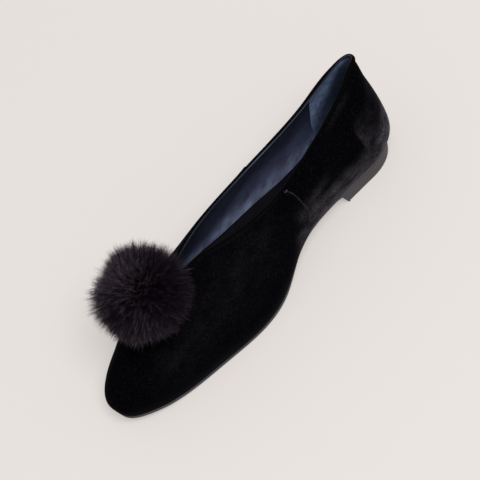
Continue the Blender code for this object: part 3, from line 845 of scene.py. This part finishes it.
# Sole, heel and sock.
GAP = 0.3 * MM
SOLE_THICKNESS, SOLE_MARGIN, SOLE_PROUD, SOLE_DROP = 2.8 * MM, 1.0 * MM, 0.5 * MM, 0.05 * MM
HEEL_TAPER, HEEL_LIFT = 0.8 * MM, 0.1 * MM
BREAST_STATION_TOP, BREAST_STATION_FLOOR, BREAST_RUN = 0.765, 0.775, 0.03
PLAN_SAMPLES, PLAN_STATIONS, HEEL_STATIONS, SLAB_STEPS = 4000, 190, 120, 9
# Edges in section from the top down: outward in margins or inward in millimetres, share of the drop.
SOLE_PROFILE = (
    (-3.0, 0.0), (0.0, 0.0), (0.30, 0.05), (0.45, 0.18),
    (0.45, 0.40), (0.25, 0.68), (-0.20, 0.90), (-0.80, 1.0),
)
HEEL_PROFILE = ((0.0, 0.0), (0.0, 0.35), (0.0, 0.7), (0.0, 0.93), (0.25, 0.98), (0.6, 1.0))
# The sock's bed and the edges it turns up on the walls: millimetres above the feather line.
SOCK = table_curves(
    "inner bed outer",
    (0.00, 3.0, 2.0, 3.0), (0.20, 4.6, 2.2, 3.0), (0.43, 6.9, 2.4, 3.0), (0.50, 4.6, 2.4, 3.0),
    (0.57, 3.4, 2.3, 3.0), (0.63, 2.9, 2.0, 2.6), (0.70, 2.0, 1.7, 2.4), (0.76, 1.7, 1.6, 2.2),
    (0.88, 1.6, 1.6, 2.2), (1.00, 1.8, 1.6, 2.2),
)
SOCK_FROM, SOCK_RUN = 0.012, 0.982
SOCK_STEPS, SOCK_TURN, SOCK_TURN_POWER = 40, 0.30, 2.2
SOCK_CLEAR, SOCK_THICKNESS, SOCK_NARROWEST, SOCK_MOST_PULL = 0.2 * MM, 1.2 * MM, 1 * MM, 0.45
LOWEST_CROWN = 0.01 * MM


def plan_stations(first=0.0, count=PLAN_STATIONS):
    """Stations evenly spaced along the outer edge of the feather line."""
    fine = np.linspace(0, 1, PLAN_SAMPLES)
    fine = np.where(fine < 0.5, 4 * fine**3, 1 - 2 * (1 - fine) ** 2)
    fine = np.sort(np.unique(first + (1 - first) * fine))
    gone = run_along(last_surface(fine, 1.0)[:, :2])
    return np.interp(np.linspace(0, gone[-1], count), gone, fine)


def outline(stations, grow, heights):
    """The feather line, toe to heel outside and back inside, moved out by grow and set at heights."""
    outer, inner = last_surface(stations, 1.0)[:, :2], last_surface(stations, 0.0)[:, :2]
    loop = np.concatenate([outer, inner[::-1]])
    along = np.roll(loop, -2, axis=0) - np.roll(loop, 2, axis=0)
    outward = unit(np.stack([along[:, 1], -along[:, 0]], axis=1))
    return np.column_stack([loop + grow * outward, np.concatenate([heights, heights[::-1]])])


def slab_mesh(outlines):
    """A sole piece through closed outlines, from its top edge down to its lower edge, with a crossed
    grid over the top and the underside."""
    side = np.array(outlines)
    rows, columns = side.shape[:2]
    half = columns // 2
    points, quads = [side.reshape(-1, 3)], [grid_quads(rows, columns, closed=True)]
    total = rows * columns
    shares = np.linspace(0, 1, SLAB_STEPS)[None, :, None]
    for level, flip in ((0, True), (rows - 1, False)):
        outer, inner = side[level][:half], side[level][half:][::-1]
        cap = outer[:, None] * (1 - shares) + inner[:, None] * shares
        faces = grid_quads(half, SLAB_STEPS) + total
        quads.append(faces[:, ::-1] if flip else faces)
        points.append(cap.reshape(-1, 3))
        total += half * SLAB_STEPS
    points = np.concatenate(points)
    first, faces = weld(points, np.concatenate(quads))
    return points[first], faces


def sole_underside(station):
    """Height of the outsole's underside: flat on the floor at the ball, raised at toe and waist."""
    return np.maximum(feather_height(station) - GAP - SOLE_THICKNESS, 0.0)


def build_outsole(material):
    """Rounded under at the forefoot and waist, square over the heel block."""
    stations = plan_stations()
    top, low = feather_height(stations) - SOLE_DROP, sole_underside(stations)
    square = smooth_step((stations - BREAST_STATION_TOP + BREAST_RUN) / BREAST_RUN)
    square = np.concatenate([square, square[::-1]])[:, None]
    outlines = []
    for margin, share in SOLE_PROFILE:
        heights = top + (low - top) * share
        grow = margin * SOLE_MARGIN
        upright = min(grow, SOLE_PROUD) if share == 0 else SOLE_PROUD
        rounded = outline(stations, grow, heights) * (1 - square)
        outlines.append(rounded + outline(stations, upright, heights) * square)
    return add_piece("outsole_rubber", *slab_mesh(outlines), material, "sole")


def build_heel(material):
    stations = plan_stations(BREAST_STATION_TOP, HEEL_STATIONS)
    rake = (BREAST_STATION_FLOOR - BREAST_STATION_TOP) / (1 - BREAST_STATION_TOP)
    top = sole_underside(stations) + HEEL_LIFT
    outlines = []
    for inset, share in HEEL_PROFILE:
        moved = stations + (1 - stations) * rake * share
        grow = SOLE_PROUD - HEEL_TAPER * share - inset * MM
        outlines.append(outline(moved, grow, top * (1 - share)))
    return add_piece("heel_block", *slab_mesh(outlines), material, "heel")


def around_at(station, height):
    """Where the inner wall reaches a height above the feather line."""
    full = np.maximum(crown_height(station), LOWEST_CROWN)
    share = np.clip(height / full, 0, 1) ** (LAST["squareness"](station) / 2)
    return np.arcsin(share) / math.pi


def build_sock(material):
    """A soft bed that turns up along both walls, higher under the arch on the inner side."""
    stations = SOCK_FROM + SOCK_RUN * plan_stations()
    inner_height, bed, outer_height = (SOCK[key](stations) * MM for key in ("inner", "bed", "outer"))
    inner = last_surface(stations, around_at(stations, inner_height))
    outer = last_surface(stations, 1 - around_at(stations, outer_height))
    width = np.maximum(np.linalg.norm(outer - inner, axis=1), SOCK_NARROWEST)
    pull = np.minimum((LINING_DEPTH + SOCK_CLEAR) / width, SOCK_MOST_PULL)[:, None]
    inner, outer = inner + (outer - inner) * pull, outer + (inner - outer) * pull
    shares = np.linspace(0, 1, SOCK_STEPS)[None, :]
    bed = (feather_height(stations) + bed)[:, None]
    from_inner = np.clip(1 - shares / SOCK_TURN, 0, 1) ** SOCK_TURN_POWER
    from_outer = np.clip(1 - (1 - shares) / SOCK_TURN, 0, 1) ** SOCK_TURN_POWER
    height = bed + (inner[:, 2:] - bed) * from_inner + (outer[:, 2:] - bed) * from_outer
    flat = inner[:, None, :2] * (1 - shares[..., None]) + outer[:, None, :2] * shares[..., None]
    points = np.concatenate([flat, height[..., None]], axis=-1).reshape(-1, 3)
    faces = grid_quads(len(stations), SOCK_STEPS)[:, ::-1]
    return add_piece("sock", points, faces, material, "sock")


# Pompom: where it stands, its core, and the fur's length, locks and hairs.
FUR_SEED = 11
POMPOM_STATION, POMPOM_LIFT = 0.264, 20.5 * MM
FUR_SHIFT = np.array([-1.8, 0.0, 0.4]) * MM
CORE_RADIUS, CORE_ROWS, CORE_COLUMNS = 17.5 * MM, 48, 96
CORE_LUMPS, CORE_SWELL, CORE_DENT, CORE_PROUD, CORE_ROOM = 90, 25 * MM, 0.97, 0.6 * MM, 0.1 * MM
CORE_ALONG, CORE_SHADE = 0.2, 0.3
FUR_LENGTH, LOCKS, HAIRS_PER_LOCK, UNDER_HAIRS = 15.0 * MM, 4200, 6, 21000
# Locks that point straighter down at the vamp than this cosine are hidden, and left out.
HIDDEN_FROM = 0.80
# How a lock strays from an even spread and from its lean, its reach, and how its shade varies.
LOCK_STRAY, LOCK_LEAN, LOCK_REACH, LOCK_SHADE = 0.030, 0.16, (0.70, 1.16), 0.10
TUFT_SHARPNESS, TUFT_PULL, WHORL_SHARPNESS = 9.0, 0.28, 4.0
# How hairs bend: how far they flatten, the powers of bend and pull along them, droop, room off the vamp.
FLATTEN, BEND_POWER, PULL_POWER, DROOP, HAIR_ROOM = 0.50, 1.4, 1.2, 0.06, 0.25 * MM
# Guard hairs: rings along a hair and its radius at them, the spread of roots in a lock, the share that
# stands loose, the pull to the lock, the stray and the reach.
GUARD_SPANS, GUARD_WIDTHS = (0.0, 0.45, 0.78, 1.0), (0.085 * MM, 0.080 * MM, 0.052 * MM)
ROOT_SPREAD, LOOSE_SHARE, LOOSE_PULL, LOOSE_STRAY = 0.034, 0.12, 0.1, 0.20
LOCK_PULL, LOCK_PULL_SPREAD, LOCK_PULL_MOST, LOCK_STRAY_HAIR = 0.76, 0.12, 0.98, 0.06
GUARD_REACH = (0.78, 1.08)
# Light hairs: how often they come in a lock of some shade, which carries painted light, with limits,
# and how light they are.
OFTEN, OFTEN_BY_SHADE, OFTEN_LIMITS, LIGHT = 0.12, 0.9, (0.03, 0.55), (0.30, 1.0)
GUARD_SHADE, GUARD_BY_SHADE, GUARD_SHADE_SPREAD = 0.05, 0.16, 0.02
# Under hairs, the same in short.
UNDER_SPANS, UNDER_WIDTHS, UNDER_PARTS = (0.0, 0.55, 1.0), (0.085 * MM, 0.055 * MM), 12
UNDER_STRAY, UNDER_LEAN, UNDER_LENGTH, UNDER_REACH, UNDER_PULL = 0.012, 0.14, 0.64, (0.65, 1.05), 0.2
UNDER_SHADE, UNDER_BY_SHADE, UNDER_SHADE_SPREAD = 0.02, 0.1, 0.03
# Whorls that the fur falls away from: right, up and towards the camera, and how flat it lies.
WHORLS = (
    (0.38, 0.14, 0.91, 0.40),
    (-0.85, 0.30, 0.35, 0.30),
    (0.55, 0.75, -0.35, 0.40),
    (-0.65, 0.10, -0.75, 0.40),
    (0.55, -0.75, -0.35, 0.35),
)
# Tufts that the fur falls into, with partings between them: right, up and towards the camera, and
# the painted light on their tips, negative for painted shade.
TUFTS = (
    (-0.36, 0.30, 0.86, 0.62),
    (-0.60, 0.66, 0.42, 0.42),
    (0.02, 0.90, 0.42, 0.05),
    (0.46, 0.60, 0.64, -0.22),
    (-0.90, -0.16, 0.38, 0.46),
    (-0.52, -0.38, 0.76, -0.40),
    (-0.62, -0.74, 0.22, 0.20),
    (-0.06, -0.62, 0.78, 0.22),
    (0.30, -0.88, 0.36, 0.15),
    (0.62, -0.56, 0.54, -0.06),
    (0.84, 0.06, 0.52, -0.32),
    (0.22, 0.06, 0.97, -0.10),
    (-0.75, 0.60, -0.25, 0.12),
    (0.35, 0.85, -0.35, 0.06),
    (-0.35, -0.80, -0.30, 0.10),
    (0.10, 0.10, -0.98, 0.02),
    (0.85, 0.10, -0.50, 0.0),
)
# Notches in the ball's outline: right, up and towards the camera, half angle and share of length
# lost, which is negative where the fur stands out.
NOTCHES = (
    (-0.88, 0.44, 0.15, 0.27, 0.72),
    (-0.04, 0.98, 0.18, 0.14, 0.24),
    (-0.55, -0.80, 0.20, 0.15, 0.12),
    (0.48, -0.86, 0.18, 0.40, 0.18),
    (0.98, 0.05, 0.20, 0.35, 0.06),
    (-0.97, -0.12, 0.20, 0.40, -0.12),
)


def pompom_centre():
    """Where the pompom's middle stands over the ridge of the vamp."""
    near, far = last_surface(np.array([POMPOM_STATION, POMPOM_STATION + EDGE_STEP]), 0.5)
    along = far - near
    return near + unit(np.array([0.0, -along[2], along[1]])) * POMPOM_LIFT + FUR_SHIFT


def directions(polar, turn):
    parts = (np.cos(turn) * np.sin(polar), np.sin(turn) * np.sin(polar), np.cos(polar))
    return np.stack(np.broadcast_arrays(*parts), axis=-1)


def even_directions(count):
    steps = np.arange(count) + 0.5
    return directions(np.arccos(1 - 2 * steps / count), math.pi * (1 + 5**0.5) * steps)


def keep_off(points, tree, room):
    """Moves points that lie inside the vamp out to its surface."""
    for i, point in enumerate(points):
        place, normal, *_ = tree.find_nearest(Vector(point))
        if place is not None and (Vector(point) - place).dot(normal) < room:
            points[i] = place + normal * room
    return points


def places_on_ball(rows, axis, sharpness):
    """Directions of a table's rows, and how much each counts at each place on the ball."""
    places = unit(np.array(rows)[:, :3] @ np.array(photo_axes()))
    weights = np.exp(sharpness * axis @ places.T)
    return places, weights / weights.sum(axis=1, keepdims=True)


def whorl_lean(axis):
    """Which way, and how far, the fur lies over at each place on the ball."""
    whorls, weights = places_on_ball(WHORLS, axis, WHORL_SHARPNESS)
    total = np.zeros_like(axis)
    for whorl, row, weight in zip(whorls, WHORLS, weights.T):
        away = tangent_of(np.broadcast_to(-whorl, axis.shape), axis)
        total += away * (row[3] * weight)[:, None]
    return total


def lock_field(chance, down):
    """Locks of fur over the ball, leaning into the tufts they belong to."""
    axis = unit(even_directions(LOCKS) + chance.normal(0, LOCK_STRAY, (LOCKS, 3)))
    axis = axis[axis @ down < HIDDEN_FROM]
    count = len(axis)
    tufts, weights = places_on_ball(TUFTS, axis, TUFT_SHARPNESS)
    lean = TUFT_PULL * tangent_of(weights @ tufts, axis)
    lean = lean + whorl_lean(axis) + tangent_of(chance.normal(0, LOCK_LEAN, (count, 3)), axis)
    reach = chance.uniform(*LOCK_REACH, count)
    notched = np.ones(count)
    for *place, half, loss in NOTCHES:
        angle = np.arccos(np.clip(axis @ unit(np.array(place) @ np.array(photo_axes())), -1, 1))
        notched = notched * (1 - loss * bell(angle / half))
    # Painted light and shade on the tips, by tuft, with a random spread.
    shade = weights @ np.array(TUFTS)[:, 3] + chance.normal(0, LOCK_SHADE, count)
    notch = np.minimum(notched, 1)
    return {"axis": axis, "lean": lean, "reach": reach * notched, "notch": notch, "shade": shade}


def hair_mesh(chance, roots, rings, widths, spans, shade):
    """Tapered three-sided hairs through the rings' places."""
    count = len(roots)
    side = unit(np.cross(roots, chance.normal(0, 1, (count, 3))))
    other = np.cross(roots, side)
    points, along = [], []
    for ring, width, span in zip(rings[:-1], widths, spans):
        for turn in np.arange(3) * 2 * math.pi / 3:
            points.append(ring + (side * math.cos(turn) + other * math.sin(turn)) * width)
            along.append(np.full(count, span))
    points = np.stack([*points, rings[-1]], axis=1)
    along = np.stack([*along, np.ones(count)], axis=1)
    per = points.shape[1]
    sides = np.array([(0, 1), (1, 2), (2, 0)])
    starts = 3 * np.arange(len(spans) - 2)[:, None, None]
    pattern = np.concatenate([sides + starts, sides[:, ::-1] + starts + 3], axis=2).reshape(-1, 4)
    tips = np.column_stack([sides + 3 * (len(spans) - 2), np.full(3, per - 1)])
    base = np.arange(count)[:, None, None] * per
    faces = (pattern + base).reshape(-1, 4).tolist() + (tips + base).reshape(-1, 3).tolist()
    values = {"along": along.reshape(-1), "shade": np.repeat(np.clip(shade, 0, 1), per)}
    return points.reshape(-1, 3), faces, values


def hair_rings(roots, axis, lean, reach, pull, spans, tree, centre):
    """Places along each hair: out from the ball, bent over, drawn to its lock and off the vamp."""
    rings = []
    lying = np.linalg.norm(lean, axis=1)
    for span in spans:
        out = (CORE_RADIUS + reach * span * (1 - FLATTEN * span * lying))[:, None]
        bend = lean * (reach * span**BEND_POWER)[:, None]
        own, shared = roots * out + bend, axis * out + bend
        place = own + (shared - own) * (pull * span**PULL_POWER)[:, None]
        drop = np.array([0, 0, -1.0]) * (reach * DROOP * span**2)[:, None]
        rings.append(place + drop + centre)
    rings = np.array(rings)
    rings[1:] = keep_off(rings[1:].reshape(-1, 3), tree, HAIR_ROOM).reshape(rings[1:].shape)
    return rings


def lock_hairs(chance, locks, which, tree, centre):
    """Guard hairs of some locks, each lock drawn to a fine tip, with a few hairs standing loose."""
    index = np.repeat(which, HAIRS_PER_LOCK)
    count = len(index)
    axis, lock_shade = locks["axis"][index], locks["shade"][index]
    roots = unit(axis + tangent_of(chance.normal(0, ROOT_SPREAD, (count, 3)), axis))
    loose = chance.uniform(0, 1, count) < LOOSE_SHARE
    pull = np.clip(chance.normal(LOCK_PULL, LOCK_PULL_SPREAD, count), 0, LOCK_PULL_MOST)
    pull = np.where(loose, LOOSE_PULL, pull)
    stray = np.where(loose, LOOSE_STRAY, LOCK_STRAY_HAIR)[:, None] * chance.normal(0, 1, (count, 3))
    lean = tangent_of(locks["lean"][index] + stray, roots)
    reach = FUR_LENGTH * locks["reach"][index] * chance.uniform(*GUARD_REACH, count)
    rings = hair_rings(roots, axis, lean, reach, pull, GUARD_SPANS, tree, centre)
    often = np.clip(OFTEN + OFTEN_BY_SHADE * lock_shade, *OFTEN_LIMITS)
    light = np.where(chance.uniform(0, 1, count) < often, chance.uniform(*LIGHT, count), 0.0)
    shade = GUARD_SHADE + GUARD_BY_SHADE * lock_shade + chance.normal(0, GUARD_SHADE_SPREAD, count)
    return hair_mesh(chance, roots, rings, GUARD_WIDTHS, GUARD_SPANS, shade + light)


def under_hairs(chance, locks, tree, centre):
    """Short dense hairs between the locks."""
    size = (UNDER_HAIRS, 3)
    roots = unit(even_directions(UNDER_HAIRS) + chance.normal(0, UNDER_STRAY, size))
    parts = np.array_split(roots, UNDER_PARTS)
    nearest = np.concatenate([np.argmax(part @ locks["axis"].T, axis=1) for part in parts])
    lean = tangent_of(locks["lean"][nearest] + chance.normal(0, UNDER_LEAN, size), roots)
    reach = FUR_LENGTH * UNDER_LENGTH * chance.uniform(*UNDER_REACH, UNDER_HAIRS) * locks["notch"][nearest]
    pull = np.full(UNDER_HAIRS, UNDER_PULL)
    rings = hair_rings(roots, locks["axis"][nearest], lean, reach, pull, UNDER_SPANS, tree, centre)
    shade = UNDER_SHADE + UNDER_BY_SHADE * locks["shade"][nearest]
    shade = shade + chance.normal(0, UNDER_SHADE_SPREAD, UNDER_HAIRS)
    return hair_mesh(chance, roots, rings, UNDER_WIDTHS, UNDER_SPANS, shade)


def build_core(material, tree, centre, chance):
    """The pompom's dense heart, uneven like packed fur."""
    polar = np.linspace(0, math.pi, CORE_ROWS)[:, None]
    turn = np.linspace(0, 2 * math.pi, CORE_COLUMNS, endpoint=False)[None]
    direction = directions(polar, turn).reshape(-1, 3)
    lumps = unit(chance.normal(0, 1, (CORE_LUMPS, 3)))
    swell = CORE_SWELL * (np.max(direction @ lumps.T, axis=1) - CORE_DENT)
    points = centre + direction * (CORE_RADIUS + CORE_PROUD + swell)[:, None]
    first, faces = weld(points, grid_quads(CORE_ROWS, CORE_COLUMNS, closed=True))
    points = keep_off(points[first].copy(), tree, CORE_ROOM)
    values = {"along": np.full(len(points), CORE_ALONG), "shade": np.full(len(points), CORE_SHADE)}
    return add_piece("pompom_core", points, faces, material, "fur", values)


def build_pompom(material, vamp):
    chance = np.random.default_rng(FUR_SEED)
    centre = pompom_centre()
    points = [vertex.co.copy() for vertex in vamp.data.vertices]
    tree = BVHTree.FromPolygons(points, [tuple(face.vertices) for face in vamp.data.polygons])
    near = tree.find_nearest(Vector(centre))[0]
    locks = lock_field(chance, unit(np.array(near) - centre))
    pieces = [build_core(material, tree, centre, chance)]
    halves = np.arange(len(locks["axis"]))
    meshes = {
        "fur_a": lock_hairs(chance, locks, halves[::2], tree, centre),
        "fur_b": lock_hairs(chance, locks, halves[1::2], tree, centre),
        "fur_under": under_hairs(chance, locks, tree, centre),
    }
    for name, (places, faces, values) in meshes.items():
        pieces.append(add_piece(name, places, faces, material, "fur", values))
    return pieces


# Stage, light and camera. The photograph's camera was fitted with the last: degrees, metres and
# pixels of its own frame.
PHOTO_AZIMUTH, PHOTO_ELEVATION, PHOTO_ROLL = (math.radians(v) for v in (59.363, 54.482, -24.434))
PHOTO_DISTANCE = 1107.46 * MM
PHOTO_SLIDE = np.array([-8.691, -59.672]) * MM
PHOTO_FOCAL, PHOTO_MIDDLE = 1330.55, 240.0
FRAME_MIDDLE, FRAME_SIDE = (219.0, 291.0), 350.0
SENSOR = 36.0
FLOOR_HALF, FLOOR_HEIGHT, FLOOR_TONE, FLOOR_GLOW = 6.0, -0.1 * MM, 3.0, 0.40
FLOOR_ROUGHNESS, FLOOR_SPECULAR = 0.9, 0.1
WORLD_STRENGTH = 0.43
# The key light stands right of the camera's line, above it and along it.
KEY_TOWARDS = (0.10, 0.30, 1.0)
KEY_DISTANCE, KEY_SIZE, KEY_POWER = 3.0, 1.6, 50.0


def photo_axes():
    """Right, up and back of the photograph's camera."""
    level = np.array([math.cos(PHOTO_AZIMUTH), math.sin(PHOTO_AZIMUTH), 0.0])
    ahead = np.array([math.sin(PHOTO_AZIMUTH), -math.cos(PHOTO_AZIMUTH), 0.0])
    back = ahead * math.cos(PHOTO_ELEVATION) + np.array([0.0, 0.0, math.sin(PHOTO_ELEVATION)])
    upright = np.cross(back, level)
    right = math.cos(PHOTO_ROLL) * level + math.sin(PHOTO_ROLL) * upright
    up = -math.sin(PHOTO_ROLL) * level + math.cos(PHOTO_ROLL) * upright
    return right, up, back


def add_camera():
    """The photograph's viewpoint, aimed at the one shoe."""
    right, up, back = photo_axes()
    place = PHOTO_DISTANCE * back - PHOTO_SLIDE[0] * right - PHOTO_SLIDE[1] * up + STAND_SHIFT
    aside, below = ((middle - PHOTO_MIDDLE) / PHOTO_FOCAL for middle in FRAME_MIDDLE)
    facing = unit(back - aside * right + below * up)
    across = unit(right - facing * (right @ facing))
    data = bpy.data.cameras.new("camera")
    data.sensor_width = SENSOR
    data.lens = SENSOR * PHOTO_FOCAL / FRAME_SIDE
    camera = new_object("camera", data)
    axes = np.column_stack([across, np.cross(facing, across), facing])
    camera.matrix_world = Matrix.Translation(Vector(place)) @ Matrix(axes.tolist()).to_4x4()
    bpy.context.scene.camera = camera


def add_floor():
    look = Look("floor_paper")
    colour = look.mix(look.noise(FLOOR_TONE, 2.0), PAPER_DARK, PAPER_LIGHT)
    glow = {"Emission_Color": PAPER_GLOW, "Emission_Strength": FLOOR_GLOW}
    material = look.done(colour, FLOOR_ROUGHNESS, FLOOR_SPECULAR, **glow)
    signs = ((-1, -1), (1, -1), (1, 1), (-1, 1))
    corners = [(x * FLOOR_HALF, y * FLOOR_HALF, FLOOR_HEIGHT) for x, y in signs]
    mesh = new_mesh("floor", corners, [(0, 1, 2, 3)])
    mesh.materials.append(material)
    floor = new_object("floor", mesh)


def add_light():
    """Plain display colours, an even world and one soft disk near the camera's line."""
    scene = bpy.context.scene
    scene.view_settings.view_transform = "Standard"
    world = bpy.data.worlds.new("studio")
    world.use_nodes = True
    background = world.node_tree.nodes["Background"]
    background.inputs["Color"].default_value = WORLD_LIGHT
    background.inputs["Strength"].default_value = WORLD_STRENGTH
    scene.world = world
    data = bpy.data.lights.new("key", "AREA")
    data.shape = "DISK"
    data.size = KEY_SIZE
    data.energy = KEY_POWER
    data.color = KEY_LIGHT
    light = new_object("key", data)
    direction = Vector(unit(np.array(KEY_TOWARDS) @ np.array(photo_axes())))
    light.location = direction * KEY_DISTANCE
    light.rotation_euler = direction.to_track_quat("Z", "Y").to_euler()


def main():
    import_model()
    add_camera()
    add_floor()
    add_light()
    velvet, fur, rubber = velvet_material(), fur_material(), rubber_material()
    vamp = build_vamp(velvet)
    quarters = build_quarters(velvet)
    for piece in (vamp, quarters):
        thicken(piece, "cloth", VELVET_THICKNESS)
    lining = build_lining(lining_material())
    grip = build_heel_grip(suede_material())
    for piece in (vamp, quarters, lining, grip):
        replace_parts(piece, "upper")
    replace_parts(build_binding(binding_material()), "topline_binding")
    build_tacks(thread_material())
    sock = build_sock(sock_material())
    thicken(sock, "pad", SOCK_THICKNESS)
    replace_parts(sock, "insole")
    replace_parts(build_outsole(rubber), "outsole")
    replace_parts(build_heel(rubber), "heel")
    for piece in build_pompom(fur, vamp):
        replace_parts(piece, "pompom")


main()
